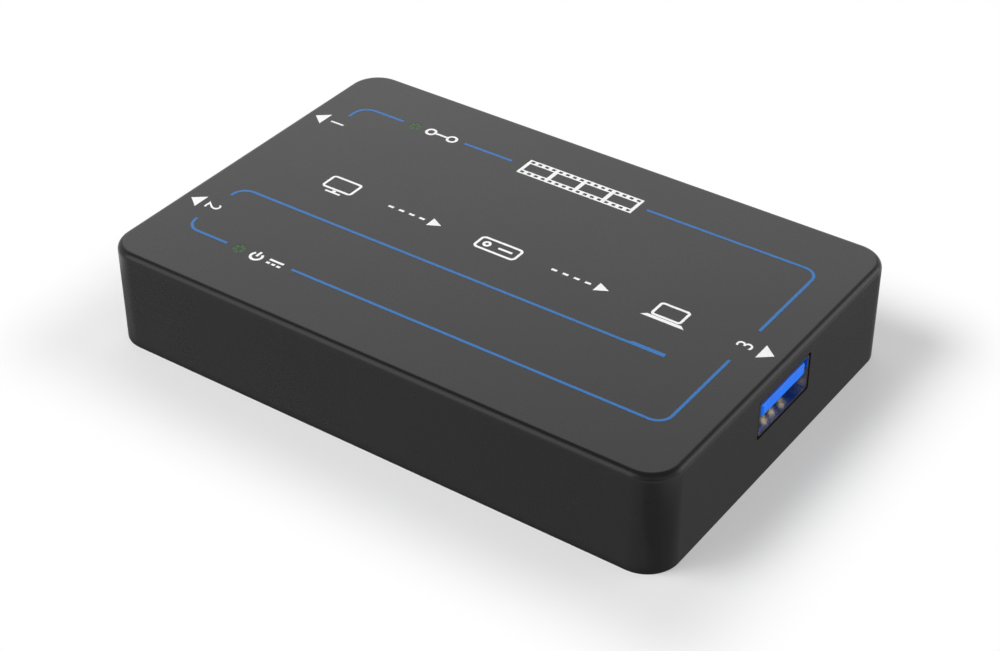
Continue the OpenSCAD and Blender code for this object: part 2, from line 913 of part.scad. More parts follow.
// A package with bent leads along two sides: body, leads and how many to a side
module leaded_package(l, w, h, leads, lead_pitch, lead_w) {
    stand_off = 0.1;
    half = w / 2;
    translate([0, 0, stand_off])
        package(l, w, h);
    for (i = [0:leads - 1])
        translate([(i - (leads - 1) / 2) * lead_pitch, 0, 0])
            rotate([90, 0, 90])
                linear_extrude(lead_w, center = true)
                    for (side = [0, 1])
                        mirror([side, 0])
                            polygon([
                                [half - lead_t, h / 2], [half - lead_t, h / 2 + lead_t],
                                [half + lead_reach / 2, h / 2 + lead_t], [half + lead_reach / 2, lead_t],
                                [half + lead_reach, lead_t], [half + lead_reach, 0],
                                [half + lead_reach / 2 - lead_t, 0], [half + lead_reach / 2 - lead_t, h / 2]
                            ]);
}

module flash_chip() {
    color("#242426")
        on_board(flash_at)
            leaded_package(flash_l, flash_w, flash_h, flash_leads, flash_pitch, flash_lead_w);
}

module regulator_chip() {
    color("#242426")
        on_board(regulator_at)
            leaded_package(regulator_l, regulator_w, regulator_h,
                regulator_leads, regulator_pitch, regulator_lead_w);
}

module clock_crystal() {
    foot_r = 0.4;
    lid_r = 0.5;
    color("#c9ccd0")
        on_board(crystal_at) {
            linear_extrude(crystal_foot_h)
                rounded_rect(crystal_l, crystal_w, foot_r);
            linear_extrude(crystal_h)
                rounded_rect(crystal_l - 2 * crystal_step, crystal_w - 2 * crystal_step, lid_r);
        }
}

// A moulded core with a round coil window let into its top
module power_inductors() {
    core_r = 0.8;
    color("#55575a")
        for (p = inductors_at)
            on_board(p)
                difference() {
                    linear_extrude(inductor_h)
                        rounded_rect(inductor_w, inductor_w, core_r);
                    translate([0, 0, inductor_h - groove_depth])
                        difference() {
                            cylinder(d = groove_d, h = lap);
                            cylinder(d = groove_d - 2 * groove_w, h = lap);
                        }
                }
}

// A moulded block between two end terminals that wrap under it
module bulk_capacitors() {
    color("#c8963c")
        for (p = bulk_at)
            on_board(p) {
                translate([-bulk_l / 2, -bulk_w / 2, bulk_lift])
                    cube([bulk_l, bulk_w, bulk_h - bulk_lift]);
                for (side = [-1, 1])
                    translate([side * (bulk_l - terminal_l) / 2, 0, terminal_h / 2])
                        cube([terminal_l, terminal_w, terminal_h], center = true);
            }
}

module ceramic_capacitors() {
    color("#b9a27c")
        for (row = ceramic_rows, i = [0:ceramic_count - 1])
            on_board([row.x, row.y + (i - (ceramic_count - 1) / 2) * ceramic_pitch])
                translate([-ceramic_l / 2, -ceramic_w / 2, 0])
                    cube([ceramic_l, ceramic_w, ceramic_h]);
}

top_shell();
bottom_cover();
cover_screws();
main_board();
board_screws();
data_socket_shell();
data_socket_insulator();
data_socket_contacts();
data_socket_pads();
video_in_shell();
video_in_insulator();
video_in_contacts();
video_out_shell();
video_out_insulator();
video_out_contacts();
link_light_pipe();
power_light_pipe();
link_led();
power_led();
capture_chip();
thermal_pad();
heatsink();
receiver_chip();
memory_chip();
flash_chip();
regulator_chip();
clock_crystal();
power_inductors();
bulk_capacitors();
ceramic_capacitors();
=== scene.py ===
"""Looks of a video capture box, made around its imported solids.

Metres, z up. The origin is on the underside, in the middle, and the data socket faces +x.
"""
import json
import math

import bmesh
import bpy
from mathutils import Euler, Matrix, Vector


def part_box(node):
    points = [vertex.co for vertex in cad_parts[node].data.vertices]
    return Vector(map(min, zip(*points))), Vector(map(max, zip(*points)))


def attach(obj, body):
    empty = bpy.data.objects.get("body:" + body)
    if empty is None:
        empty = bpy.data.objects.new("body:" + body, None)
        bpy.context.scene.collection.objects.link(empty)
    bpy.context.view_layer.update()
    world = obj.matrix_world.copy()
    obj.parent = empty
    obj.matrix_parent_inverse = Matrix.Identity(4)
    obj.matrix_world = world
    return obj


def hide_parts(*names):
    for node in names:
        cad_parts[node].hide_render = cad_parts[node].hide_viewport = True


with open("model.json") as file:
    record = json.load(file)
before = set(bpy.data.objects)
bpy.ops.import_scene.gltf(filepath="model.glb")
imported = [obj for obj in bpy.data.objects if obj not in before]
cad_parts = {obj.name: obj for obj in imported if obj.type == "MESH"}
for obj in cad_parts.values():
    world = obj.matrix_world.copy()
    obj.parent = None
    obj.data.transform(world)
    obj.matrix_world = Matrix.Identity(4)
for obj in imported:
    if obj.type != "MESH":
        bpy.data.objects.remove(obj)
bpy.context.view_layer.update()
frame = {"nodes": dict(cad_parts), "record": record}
nodes = frame["nodes"]
slot_of = {row["node"]: row["material_slot"] for row in frame["record"]["subparts"]}
scene = bpy.context.scene
scene.view_settings.view_transform = "Standard"

MM = 0.001

# Places of two axes in a vector
X, Z = 0, 2

# Case, in the same sizes as its solid
CASE_LOW, CASE_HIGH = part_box("top_shell")
CORNER_R = 4.75 * MM
EDGE_R = 1.0 * MM
WALL_T = 1.5 * MM
ROOF_T = 1.5 * MM
CEILING = CASE_HIGH.z - ROOF_T
FOOT_EDGE = 0.1 * MM
RIM_EDGE = 0.07 * MM

# Bosses for the cover's screws and posts for the board
BOSS_INSET = 4.75 * MM
BOSS_AT = Vector((CASE_HIGH.x - BOSS_INSET, CASE_HIGH.y - BOSS_INSET))
BOSS_D = 5.0 * MM
BOSS_BORE = 5.5 * MM
POST_AT = Vector((24 * MM, 25 * MM))
POST_D = 4.5 * MM
POST_BORE = 3.9 * MM
THREAD_D = 2.06 * MM
BOARD_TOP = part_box("main_board")[1].z

# Holes in the ends and the roof
SHEET_T = 0.2 * MM
PORT_GAP = 0.25 * MM
MOUTH_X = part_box("data_socket_shell")[1].x
DATA_OPEN_H = 5.12 * MM
DATA_PORT_R = 0.3 * MM
VIDEO_OPEN_H = 4.55 * MM
VIDEO_PORT_R = 0.8 * MM
VIDEO_SLANT = 1.91 * MM
SLANT_R = 0.33 * MM
LIGHT_AT = Vector((-29 * MM, 20 * MM))
WINDOWS = 6
WINDOW_RING_D = 1.94 * MM
WINDOW_CORE_D = 0.46 * MM
WINDOW_WEB = 0.08 * MM

# Cover and its screws
COVER_LOW, COVER_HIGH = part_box("bottom_cover")
COVER_CORNER_R = 3.15 * MM
COVER_EDGE = 0.12 * MM
HOLE_GAP = 0.2 * MM
SCREW_LOW, SCREW_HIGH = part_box("cover_screws")
SCREW_D = 2.0 * MM
HEAD_D = 3.6 * MM
HEAD_H = (HEAD_D - SCREW_D) / 2
HEAD_EDGE = 0.05 * MM
SCREW_TIP = 0.35 * MM
DRIVE_W = 0.5 * MM
DRIVE_L = 2.0 * MM
DRIVE_DEPTH = 0.55 * MM
DRIVE_TAPER = 0.55

# Width of the eased edges of each socket piece
SOCKET_EDGES = {
    "data_socket_shell": 0.05 * MM,
    "data_socket_insulator": 0.06 * MM,
    "data_socket_contacts": 0.03 * MM,
    "data_socket_pads": 0.03 * MM,
    "video_in_shell": 0.05 * MM,
    "video_in_insulator": 0.06 * MM,
    "video_in_contacts": 0.02 * MM,
    "video_out_shell": 0.05 * MM,
    "video_out_insulator": 0.06 * MM,
    "video_out_contacts": 0.02 * MM,
}

# Print on the roof
INK_T = 0.015 * MM
LINE_W = 0.44 * MM
MARK_W = 0.4 * MM
PRINT_Z = CASE_HIGH.z

# Steps of a rounded corner, an eased edge or a full turn
CASE_CORNER_STEPS = 20
CASE_EDGE_STEPS = 10
INNER_CORNER_STEPS = 16
PORT_CORNER_STEPS = 6
SLANT_STEPS = 4
FOOT_STEPS = 3
RIM_STEPS = 2
ROD_STEPS = 48
WINDOW_CORE_STEPS = 24
SCREW_STEPS = 40

# Angles in degrees, between the faces at an edge: past them it is shaded crisp, or is eased
CRISP = 40
SCREW_CRISP = 30
SOCKET_CRISP = 60
RIM_ANGLE = 50
SOCKET_ANGLE = 35
FLAT_ANGLE = 1

# Degrees turned by each step of a printed arc
ARC_STEP = 9

# Overlap of a cutting shape past the face that it opens, and the distance that counts as none
LAP = 0.5 * MM
NEAR = 0.001 * MM


class Shade:
    """A socket of a shader tree: arithmetic adds Math nodes, and make() adds any other node."""

    def __init__(self, tree, socket=None):
        self.tree = tree
        self.socket = socket

    def make(self, kind, settings=None, sockets=None, out=0):
        made = self.tree.nodes.new("ShaderNode" + kind)
        for name, value in (settings or {}).items():
            setattr(made, name, value)
        for name, value in (sockets or {}).items():
            if isinstance(value, Shade):
                self.tree.links.new(value.socket, made.inputs[name])
            else:
                made.inputs[name].default_value = value
        return Shade(self.tree, made.outputs[out] if made.outputs else None)

    def maths(self, operation, first, second):
        return self.make("Math", {"operation": operation}, {0: first, 1: second})

    def __add__(self, other):
        return self.maths("ADD", self, other)

    def __radd__(self, other):
        return self.maths("ADD", other, self)

    def __sub__(self, other):
        return self.maths("SUBTRACT", self, other)

    def __rsub__(self, other):
        return self.maths("SUBTRACT", other, self)

    def __mul__(self, other):
        return self.maths("MULTIPLY", self, other)

    def __rmul__(self, other):
        return self.maths("MULTIPLY", other, self)

    def at_least(self, other):
        return self.maths("MAXIMUM", self, other)

    def rising(self, low, high):
        """0 below low, 1 above high and smooth between them."""
        settings = {"interpolation_type": "SMOOTHSTEP"}
        return self.make("MapRange", settings, {"Value": self, "From Min": low, "From Max": high})


# Shader pieces that several finishes share

METAL = {"Metallic": 1.0}
SATIN = {"IOR": 1.3}
CASE_BLACK = (0.0125, 0.0125, 0.0128)

# Middle value of a noise, and the detail of a coarse, a plain and a fine one
MIDDLE = 0.5
COARSE = 0.0
PLAIN = 2.0
FINE = 3.0

# Pitch of the bands of a wave texture at a scale of 1
BAND_PITCH = math.pi / 10

# Sockets of a Mix node that blends colours
MIX_FACTOR, MIX_FIRST, MIX_SECOND, MIX_RESULT = 0, 6, 7, 2


def new_material(name):
    material = bpy.data.materials.new(name)
    material.use_nodes = True
    material.node_tree.nodes.clear()
    return material, Shade(material.node_tree)


def principled(material, tree, sockets):
    shader = tree.make("BsdfPrincipled", None, sockets)
    tree.make("OutputMaterial", None, {"Surface": shader})
    return material


def bumped(tree, height, depth):
    return tree.make("Bump", None, {"Height": height, "Distance": depth})


def grain(tree, size, detail=PLAIN, stretch=(1, 1, 1)):
    """Noise from 0 to 1 whose lumps are about size across, drawn out where stretch is over 1."""
    at = tree.make("TexCoord", out="Object")
    squeeze = tuple(1 / s for s in stretch)
    at = tree.make("Mapping", None, {"Vector": at, "Scale": squeeze})
    return tree.make("TexNoise", None, {"Vector": at, "Scale": 1 / size, "Detail": detail})


def wave(tree, direction, pitch):
    """Even bands from 0 to 1 across one axis."""
    at = tree.make("TexCoord", out="Object")
    settings = {"wave_type": "BANDS", "bands_direction": direction}
    return tree.make("TexWave", settings, {"Vector": at, "Scale": BAND_PITCH / pitch})


def blended(tree, mask, first, second):
    """A colour between two others."""
    sockets = {MIX_FACTOR: mask, MIX_FIRST: first, MIX_SECOND: second}
    return tree.make("Mix", {"data_type": "RGBA"}, sockets, out=MIX_RESULT)


def opaque(colour):
    return (*colour, 1)


def shades(colour, spread):
    """A colour's darker and lighter neighbours."""
    darker = tuple(c * (1 - spread) for c in colour)
    lighter = tuple(min(1.0, c * (1 + spread)) for c in colour)
    return opaque(darker), opaque(lighter)


# Finishes


def finish(name, colour, rough, lumps, depth, stretch=(1, 1, 1), fixed=None):
    """A finish whose colour, roughness and height all follow grain that is lumps across."""
    material, tree = new_material(name)
    broad_lumps = 12 * lumps
    fine_share = 0.6
    colour_spread = 0.12
    rough_spread = 0.08
    fine = grain(tree, lumps, stretch=stretch)
    broad = grain(tree, broad_lumps, stretch=stretch)
    mask = fine * fine_share + broad * (1 - fine_share)
    return principled(material, tree, {
        "Base Color": blended(tree, mask, *shades(colour, colour_spread)),
        "Roughness": rough + rough_spread * (mask - MIDDLE),
        "Normal": bumped(tree, fine, depth),
        **(fixed or {}),
    })


def blasted(name, colour, rough):
    """Blasted, anodised metal: fine dimples, and broad patches that handling has polished a little."""
    material, tree = new_material(name)
    dimple_w = 0.14 * MM
    dimple_depth = 0.0011 * MM
    dimple_rough = 0.06
    dimple_share = 0.5
    patch_w = 16 * MM
    patch_rough = 0.05
    colour_spread = 0.15
    dimples = grain(tree, dimple_w, FINE)
    patches = grain(tree, patch_w)
    mask = dimples * dimple_share + patches * (1 - dimple_share)
    return principled(material, tree, {
        "Base Color": blended(tree, mask, *shades(colour, colour_spread)),
        "Roughness": rough + patch_rough * (patches - MIDDLE) + dimple_rough * (dimples - MIDDLE),
        "Normal": bumped(tree, dimples, dimple_depth),
        **SATIN,
    })


def rolled_sheet(name, colour, bare):
    """Plated sheet: fine lines along its length, dull patches, and its cut edges at a socket's mouth
    painted dark brown, a painted shade that dulls their reflection.
    """
    material, tree = new_material(name)
    line_w = 0.05 * MM
    line_stretch = (30, 1, 1)
    line_depth = 0.0008 * MM
    dull_w = 1.4 * MM
    dull_from, dull_full = 0.45, 0.75
    edge_from = MOUTH_X - 0.05 * MM
    edge_full = MOUTH_X - 0.02 * MM
    bright_rough = 0.2
    line_rough = 0.08
    dull_rough = 0.1
    edge_rough = 0.25
    colour_spread = 0.1
    lines = grain(tree, line_w, stretch=line_stretch)
    dull = grain(tree, dull_w).rising(dull_from, dull_full)
    at = tree.make("TexCoord", out="Object")
    outward = tree.make("VectorMath", {"operation": "ABSOLUTE"}, {0: at})
    outward = tree.make("SeparateXYZ", None, {"Vector": outward}, out="X")
    # Painted shade: the sheet's edge at the mouth is coloured dark brown to dull what it mirrors
    painted_edge_shade = outward.rising(edge_from, edge_full)
    darker, lighter = shades(colour, colour_spread)
    plating = blended(tree, dull, lighter, darker)
    return principled(material, tree, {
        "Base Color": blended(tree, painted_edge_shade, plating, opaque(bare)),
        "Roughness": bright_rough + line_rough * lines + dull_rough * dull + edge_rough * painted_edge_shade,
        "Normal": bumped(tree, lines, line_depth),
        **METAL,
    })


def moulding(name, colour, rough):
    """Moulded plastic: a fine eroded face, with long flow marks in its colour."""
    material, tree = new_material(name)
    pit_w = 0.09 * MM
    pit_depth = 0.0009 * MM
    pit_rough = 0.1
    flow_w = 0.8 * MM
    flow_stretch = (5, 1, 1)
    flow_rough = 0.06
    colour_spread = 0.08
    eroded = grain(tree, pit_w, FINE)
    flow = grain(tree, flow_w, stretch=flow_stretch)
    return principled(material, tree, {
        "Base Color": blended(tree, flow, *shades(colour, colour_spread)),
        "Roughness": rough + pit_rough * (eroded - MIDDLE) + flow_rough * (flow - MIDDLE),
        "Normal": bumped(tree, eroded, pit_depth),
        **SATIN,
    })


def laminate(name, resist, bare):
    """Green resist over copper: tracks stand proud and show lighter, in patches that run two ways."""
    material, tree = new_material(name)
    patch_w = 6 * MM
    patch_from, patch_full = 0.48, 0.52
    track_pitch = 0.8 * MM
    track_from, track_full = 0.55, 0.75
    track_shows = 0.45
    weave_w = 0.3 * MM
    weave_shows = 0.1
    weave_rise = 0.2
    weave_rough = 0.12
    resist_rough = 0.3
    depth = 0.02 * MM
    two_ways = grain(tree, patch_w, COARSE).rising(patch_from, patch_full)
    bands = two_ways * wave(tree, "X", track_pitch) + (1 - two_ways) * wave(tree, "Y", track_pitch)
    tracks = bands.rising(track_from, track_full)
    weave = grain(tree, weave_w)
    mask = tracks * track_shows + weave * weave_shows
    return principled(material, tree, {
        "Base Color": blended(tree, mask, opaque(resist), opaque(bare)),
        "Roughness": resist_rough + weave_rough * weave,
        "Normal": bumped(tree, tracks + weave_rise * weave, depth),
    })


def printed(name, colour):
    """Screen print: a thin film of uneven cover, with pinholes that show the black under it."""
    material, tree = new_material(name)
    film_w = 0.15 * MM
    film_rough = 0.1
    smooth_rough = 0.36
    pinhole_w = 0.05 * MM
    pinhole_from, pinhole_full = 0.80, 0.88
    depth = 0.001 * MM
    colour_spread = 0.06
    film = grain(tree, film_w)
    pinholes = grain(tree, pinhole_w, COARSE).rising(pinhole_from, pinhole_full)
    cover_coat = blended(tree, film, *shades(colour, colour_spread))
    return principled(material, tree, {
        "Base Color": blended(tree, pinholes, cover_coat, opaque(CASE_BLACK)),
        "Roughness": smooth_rough + film_rough * film,
        "Normal": bumped(tree, film - pinholes, depth),
        **SATIN,
    })


materials = {
    "case_metal": blasted("blasted_black_case", CASE_BLACK, rough=0.28),
    "cover_metal": blasted("blasted_black_cover", CASE_BLACK, rough=0.34),
    "black_screw": finish("black_zinc", (0.03, 0.03, 0.032), rough=0.3,
                          lumps=0.1 * MM, depth=0.001 * MM, fixed=METAL),
    "board_laminate": laminate("green_laminate", resist=(0.02, 0.11, 0.05), bare=(0.10, 0.24, 0.07)),
    "plain_screw": finish("bright_zinc", (0.6, 0.6, 0.61), rough=0.25,
                          lumps=0.1 * MM, depth=0.001 * MM, fixed=METAL),
    # bare: the dark brown of the mouth's edges, a painted shade that dulls their reflection
    "socket_steel": rolled_sheet("nickel_sheet", (0.72, 0.74, 0.78), bare=(0.13, 0.095, 0.065)),
    "blue_plastic": moulding("blue_moulding", (0.004, 0.18, 1.0), rough=0.34),
    "black_plastic": moulding("black_moulding", (0.015, 0.015, 0.016), rough=0.4),
    "contact_gold": finish("gold_plating", (0.80, 0.65, 0.38), rough=0.42,
                           lumps=0.05 * MM, depth=0.0005 * MM, fixed=METAL),
    "green_light_pipe": moulding("green_rod", (0.042, 0.11, 0.038), rough=0.45),
    "lamp_resin": finish("lamp_resin", (0.7, 0.8, 0.65), rough=0.25,
                         lumps=0.1 * MM, depth=0.001 * MM),
    "chip_resin": finish("chip_resin", (0.02, 0.02, 0.021), rough=0.55,
                         lumps=0.08 * MM, depth=0.003 * MM),
    "thermal_rubber": finish("grey_rubber", (0.25, 0.29, 0.33), rough=0.8,
                             lumps=0.2 * MM, depth=0.01 * MM),
    "plain_aluminium": finish("sawn_aluminium", (0.6, 0.61, 0.63), rough=0.35,
                              lumps=0.1 * MM, depth=0.003 * MM, stretch=(12, 1, 1), fixed=METAL),
    "can_steel": finish("can_steel", (0.6, 0.61, 0.63), rough=0.22,
                        lumps=0.1 * MM, depth=0.001 * MM, fixed=METAL),
    "inductor_ferrite": finish("pressed_ferrite", (0.09, 0.09, 0.095), rough=0.6,
                               lumps=0.12 * MM, depth=0.006 * MM),
    "capacitor_resin": finish("amber_resin", (0.6, 0.3, 0.05), rough=0.4,
                              lumps=0.12 * MM, depth=0.002 * MM),
    "capacitor_ceramic": finish("fired_ceramic", (0.5, 0.37, 0.22), rough=0.5,
                                lumps=0.06 * MM, depth=0.002 * MM),
    "print_blue": printed("blue_ink", (0.022, 0.161, 0.464)),
    "print_white": printed("white_ink", (0.95, 0.95, 0.95)),
}


# Mesh helpers


def as_object(bm, name):
    mesh = bpy.data.meshes.new(name)
    bm.to_mesh(mesh)
    bm.free()
    made = bpy.data.objects.new(name, mesh)
    scene.collection.objects.link(made)
    return made


def remove(obj):
    mesh = obj.data
    bpy.data.objects.remove(obj)
    bpy.data.meshes.remove(mesh)


def cut(bm, cutters):
    """Takes each cutter's shape out of a solid."""
    solid = as_object(bm, "solid")
    tools = [as_object(cutter, "cutter") for cutter in cutters]
    for tool in tools:
        step = solid.modifiers.new("cut", "BOOLEAN")
        step.solver = "EXACT"
        step.object = tool
    left = bmesh.new()
    left.from_object(solid, bpy.context.evaluated_depsgraph_get())
    for scrap in [solid] + tools:
        remove(scrap)
    return left


def piece(bm, name, slot, replaced=(), crisp=CRISP):
    """Makes a bmesh a piece of the object, smooth but for its crisp edges."""
    bmesh.ops.remove_doubles(bm, verts=bm.verts, dist=NEAR)
    bmesh.ops.dissolve_degenerate(bm, edges=bm.edges, dist=NEAR)
    made = as_object(bm, name)
    made.data.shade_smooth()
    made.data.set_sharp_from_angle(angle=math.radians(crisp))
    even = made.modifiers.new("even_normals", "WEIGHTED_NORMAL")
    even.keep_sharp = True
    made.data.materials.append(materials[slot])
    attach(made, "root")
    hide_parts(*replaced)


def edges_at(bm, axis, level):
    """The edges that lie in one plane across an axis."""
    return [e for e in bm.edges if all(abs(v.co[axis] - level) < NEAR for v in e.verts)]


def edges_along(bm, axis):
    """The edges that run along an axis."""
    across = [other for other in range(3) if other != axis]
    return [e for e in bm.edges if all(abs(e.verts[1].co[a] - e.verts[0].co[a]) < NEAR for a in across)]


def sharp_edges(edges, angle):
    return [e for e in edges if e.is_manifold and e.calc_face_angle() > math.radians(angle)]


def rounded(bm, edges, radius, steps, clamp=False):
    bmesh.ops.bevel(bm, geom=edges, offset=radius, segments=steps, profile=0.5,
                    affect="EDGES", clamp_overlap=clamp, material=-1)


def block(low, high):
    bm = bmesh.new()
    low, high = Vector(low), Vector(high)
    size = Matrix.Diagonal((*(high - low), 1))
    bmesh.ops.create_cube(bm, size=1, matrix=Matrix.Translation((low + high) / 2) @ size)
    return bm


def rounded_block(low, high, axis, radius, steps):
    """A block with its four edges along one axis rounded."""
    bm = block(low, high)
    rounded(bm, edges_along(bm, axis), radius, steps)
    return bm


def rod(centre, low, high, diameter, steps=ROD_STEPS):
    """An upright rod between two levels."""
    bm = bmesh.new()
    middle = Matrix.Translation((centre[0], centre[1], (low + high) / 2))
    bmesh.ops.create_cone(bm, cap_ends=True, segments=steps, radius1=diameter / 2,
                          radius2=diameter / 2, depth=high - low, matrix=middle)
    return bm


def turned(outline, at, steps):
    """A solid turned about an upright axis from its outline of radius and height."""
    bm = bmesh.new()
    verts = [bm.verts.new((at.x + radius, at.y, height)) for radius, height in outline]
    edges = [bm.edges.new(pair) for pair in zip(verts, verts[1:])]
    bmesh.ops.spin(bm, geom=verts + edges, cent=(*at, 0), axis=(0, 0, 1), angle=2 * math.pi,
                   steps=steps, use_merge=True)
    bmesh.ops.remove_doubles(bm, verts=bm.verts, dist=NEAR)
    bmesh.ops.recalc_face_normals(bm, faces=bm.faces)
    return bm


def joined(parts):
    whole = bmesh.new()
    for part in parts:
        scrap = bpy.data.meshes.new("scrap")
        part.to_mesh(scrap)
        part.free()
        whole.from_mesh(scrap)
        bpy.data.meshes.remove(scrap)
    return whole


def four_corners(at):
    return [Vector((sx * at.x, sy * at.y)) for sx in (-1, 1) for sy in (-1, 1)]


# Case


def cavity():
    """The space inside the case, round the corner bosses and the board's posts."""
    reach = Vector((WALL_T, WALL_T, 0))
    low = CASE_LOW + reach - Vector((0, 0, LAP))
    high = CASE_HIGH - reach
    high.z = CEILING
    solids = []
    for at in four_corners(BOSS_AT):
        solids.append(rod(at, COVER_HIGH.z, CASE_HIGH.z, BOSS_D))
        corner = Vector((math.copysign(CASE_HIGH.x, at.x), math.copysign(CASE_HIGH.y, at.y)))
        lowest = (min(at.x, corner.x), min(at.y, corner.y), COVER_HIGH.z)
        highest = (max(at.x, corner.x), max(at.y, corner.y), CASE_HIGH.z)
        solids.append(block(lowest, highest))
    for at in four_corners(POST_AT):
        solids.append(rod(at, BOARD_TOP, CASE_HIGH.z, POST_D))
    return cut(rounded_block(low, high, Z, CORNER_R - WALL_T, INNER_CORNER_STEPS), solids)


def data_port():
    shell_low, shell_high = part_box("data_socket_shell")
    height = DATA_OPEN_H + 2 * (SHEET_T + PORT_GAP)
    top = shell_high.z + PORT_GAP
    low = (CASE_HIGH.x - WALL_T - LAP, shell_low.y - PORT_GAP, top - height)
    high = (CASE_HIGH.x + LAP, shell_high.y + PORT_GAP, top)
    return rounded_block(low, high, X, DATA_PORT_R, PORT_CORNER_STEPS)


def video_port(node):
    """A hole with its two lower corners slanted."""
    shell_low, shell_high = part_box(node)
    height = VIDEO_OPEN_H + 2 * (SHEET_T + PORT_GAP)
    top = shell_high.z + PORT_GAP
    middle = top - height / 2
    low = (CASE_LOW.x - LAP, shell_low.y - PORT_GAP, top - height)
    high = (CASE_LOW.x + WALL_T + LAP, shell_high.y + PORT_GAP, top)
    bm = block(low, high)
    for size, steps in ((VIDEO_SLANT, 1), (SLANT_R, SLANT_STEPS)):
        rounded(bm, [e for e in edges_along(bm, X) if e.verts[0].co.z < middle], size, steps)
    upper = [e for e in edges_along(bm, X) if e.verts[0].co.z > middle]
    rounded(bm, upper, VIDEO_PORT_R, PORT_CORNER_STEPS)
    return bm


def light_windows(side):
    """A ring of windows through the roof, with a solid middle that webs hold."""
    at = Vector((LIGHT_AT.x, side * LIGHT_AT.y))
    low = CEILING - LAP
    high = CASE_HIGH.z + LAP
    solids = [rod(at, low - LAP, high + LAP, WINDOW_CORE_D, WINDOW_CORE_STEPS)]
    reach = Vector((WINDOW_RING_D, WINDOW_WEB / 2))
    for i in range(WINDOWS // 2):
        web = block((*-reach, low - LAP), (*reach, high + LAP))
        turn = Matrix.Rotation(2 * math.pi * i / WINDOWS, 4, "Z")
        bmesh.ops.transform(web, matrix=Matrix.Translation((*at, 0)) @ turn, verts=web.verts)
        solids.append(web)
    return cut(rod(at, low, high, WINDOW_RING_D), solids)


def case():
    """Satin black case, open underneath, with its print's thickness left free on the roof."""
    high = CASE_HIGH - Vector((0, 0, INK_T))
    bm = rounded_block(CASE_LOW, high, Z, CORNER_R, CASE_CORNER_STEPS)
    rounded(bm, edges_at(bm, Z, high.z), EDGE_R, CASE_EDGE_STEPS)
    rounded(bm, edges_at(bm, Z, CASE_LOW.z), FOOT_EDGE, FOOT_STEPS)
    cutters = [cavity(), data_port(), video_port("video_in_shell"), video_port("video_out_shell")]
    cutters += [light_windows(side) for side in (-1, 1)]
    for at in four_corners(BOSS_AT):
        cutters.append(rod(at, COVER_HIGH.z - LAP, COVER_HIGH.z + BOSS_BORE, THREAD_D))
    for at in four_corners(POST_AT):
        cutters.append(rod(at, BOARD_TOP - LAP, BOARD_TOP + POST_BORE, THREAD_D))
    bm = cut(bm, cutters)
    rims = edges_at(bm, X, CASE_LOW.x) + edges_at(bm, X, CASE_HIGH.x) + edges_at(bm, Z, CASE_LOW.z)
    rounded(bm, sharp_edges(rims, RIM_ANGLE), RIM_EDGE, RIM_STEPS)
    piece(bm, "case", "case_metal", ["top_shell"])


# Cover and its screws


def cover():
    """Plate let into the case's underside, with a countersunk hole at each corner."""
    bm = rounded_block(COVER_LOW, COVER_HIGH, Z, COVER_CORNER_R, INNER_CORNER_STEPS)
    rounded(bm, edges_at(bm, Z, COVER_LOW.z), COVER_EDGE, FOOT_STEPS)
    wide = (HEAD_D + HOLE_GAP) / 2
    narrow = (SCREW_D + HOLE_GAP) / 2
    sink = SCREW_LOW.z
    outline = [
        (0, COVER_LOW.z - LAP), (wide, COVER_LOW.z - LAP), (wide, sink),
        (narrow, sink + HEAD_H), (narrow, COVER_HIGH.z + LAP), (0, COVER_HIGH.z + LAP),
    ]
    holes = [turned(outline, at, ROD_STEPS) for at in four_corners(BOSS_AT)]
    piece(cut(bm, holes), "cover", "cover_metal", ["bottom_cover"])


def drive(at):
    """Cross recess in the head of a screw, narrower at its floor."""
    mouth = SCREW_LOW.z - LAP
    floor = SCREW_LOW.z + DRIVE_DEPTH
    narrowing = Matrix.Diagonal((DRIVE_TAPER, DRIVE_TAPER, 1)).to_4x4()
    bars = []
    for length, width in ((DRIVE_L, DRIVE_W), (DRIVE_W, DRIVE_L)):
        reach = Vector((length, width)) / 2
        bm = block((*(at - reach), mouth), (*(at + reach), floor))
        deep = [v for v in bm.verts if v.co.z > SCREW_LOW.z]
        bmesh.ops.transform(bm, matrix=narrowing, verts=deep, space=Matrix.Translation((*-at, 0)))
        bars.append(bm)
    return bars


def screw(at):
    """Countersunk screw, turned from its outline."""
    low, high = SCREW_LOW.z, SCREW_HIGH.z
    outline = [
        (0, low), (HEAD_D / 2 - 2 * HEAD_EDGE, low), (HEAD_D / 2 - HEAD_EDGE, low + HEAD_EDGE),
        (SCREW_D / 2, low + HEAD_H), (SCREW_D / 2, high - SCREW_TIP),
        (SCREW_D / 2 - SCREW_TIP, high), (0, high),
    ]
    return cut(turned(outline, at, SCREW_STEPS), drive(at))


def screws():
    four = joined([screw(at) for at in four_corners(BOSS_AT)])
    piece(four, "screws", "black_screw", ["cover_screws"], SCREW_CRISP)


# Sockets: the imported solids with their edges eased


def softened(node, width):
    """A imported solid's copy with its sharp edges eased."""
    bm = bmesh.new()
    bm.from_mesh(nodes[node].data)
    bmesh.ops.remove_doubles(bm, verts=bm.verts, dist=NEAR)
    bmesh.ops.dissolve_limit(bm, angle_limit=math.radians(FLAT_ANGLE), verts=bm.verts, edges=bm.edges)
    rounded(bm, sharp_edges(bm.edges, SOCKET_ANGLE), width, RIM_STEPS, clamp=True)
    piece(bm, "eased_" + node, slot_of[node], [node], SOCKET_CRISP)


case()
cover()
screws()
for node, width in SOCKET_EDGES.items():
    softened(node, width)

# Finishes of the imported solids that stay

for name, solid in nodes.items():
    solid.data.materials.clear()
    solid.data.materials.append(materials[slot_of[name]])


# Print on the roof: where a name starts with mm, its places and lengths are in millimetres


